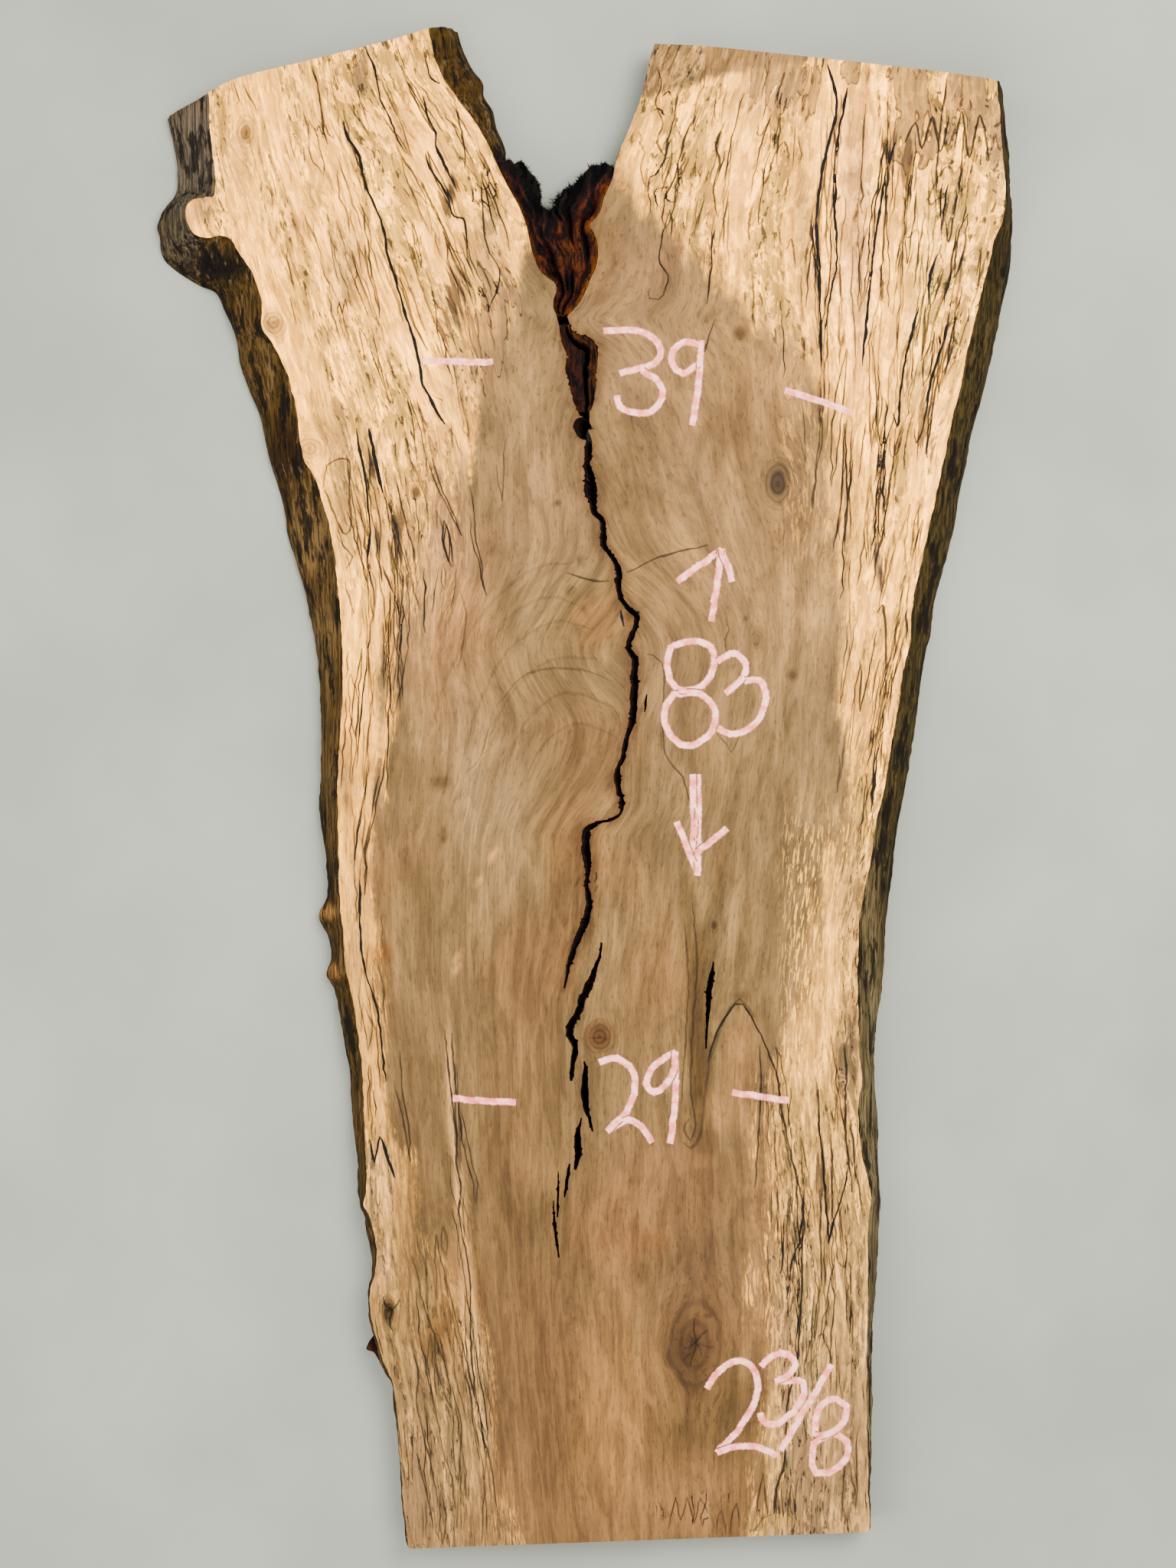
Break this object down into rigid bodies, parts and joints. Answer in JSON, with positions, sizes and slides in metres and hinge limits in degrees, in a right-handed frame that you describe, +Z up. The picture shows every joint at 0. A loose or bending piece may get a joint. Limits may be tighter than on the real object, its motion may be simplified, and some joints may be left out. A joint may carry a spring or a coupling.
{
  "type": "spalted maple slab",
  "caption": "Forked live-edge hardwood plank with dark-lined figure, a long crack down the pith and bark held in the fork, flat on both sawn faces.",
  "frame": {"origin": "under the middle of the slab's bounding box, on the surface it lies on", "axes": "+X across the sawn face to the wider limb's side, +Y along the slab from the trunk end to the fork, +Z up out of the sawn face"},
  "size_m": [1.198, 2.111, 0.0603],
  "materials": {
    "spalted_maple": "dry sawn maple, cream to tan, with thin black spalting lines, grey-tan stains and a rough brown live edge",
    "bark": "rough dark brown inner bark with reddish ridges and black fibres"
  },
  "bodies": {
    "root": {"slab": "spalted_maple", "fork_bark": "bark", "seam_bark": "bark", "bark_scale": "bark"}
  },
  "joints": []
}
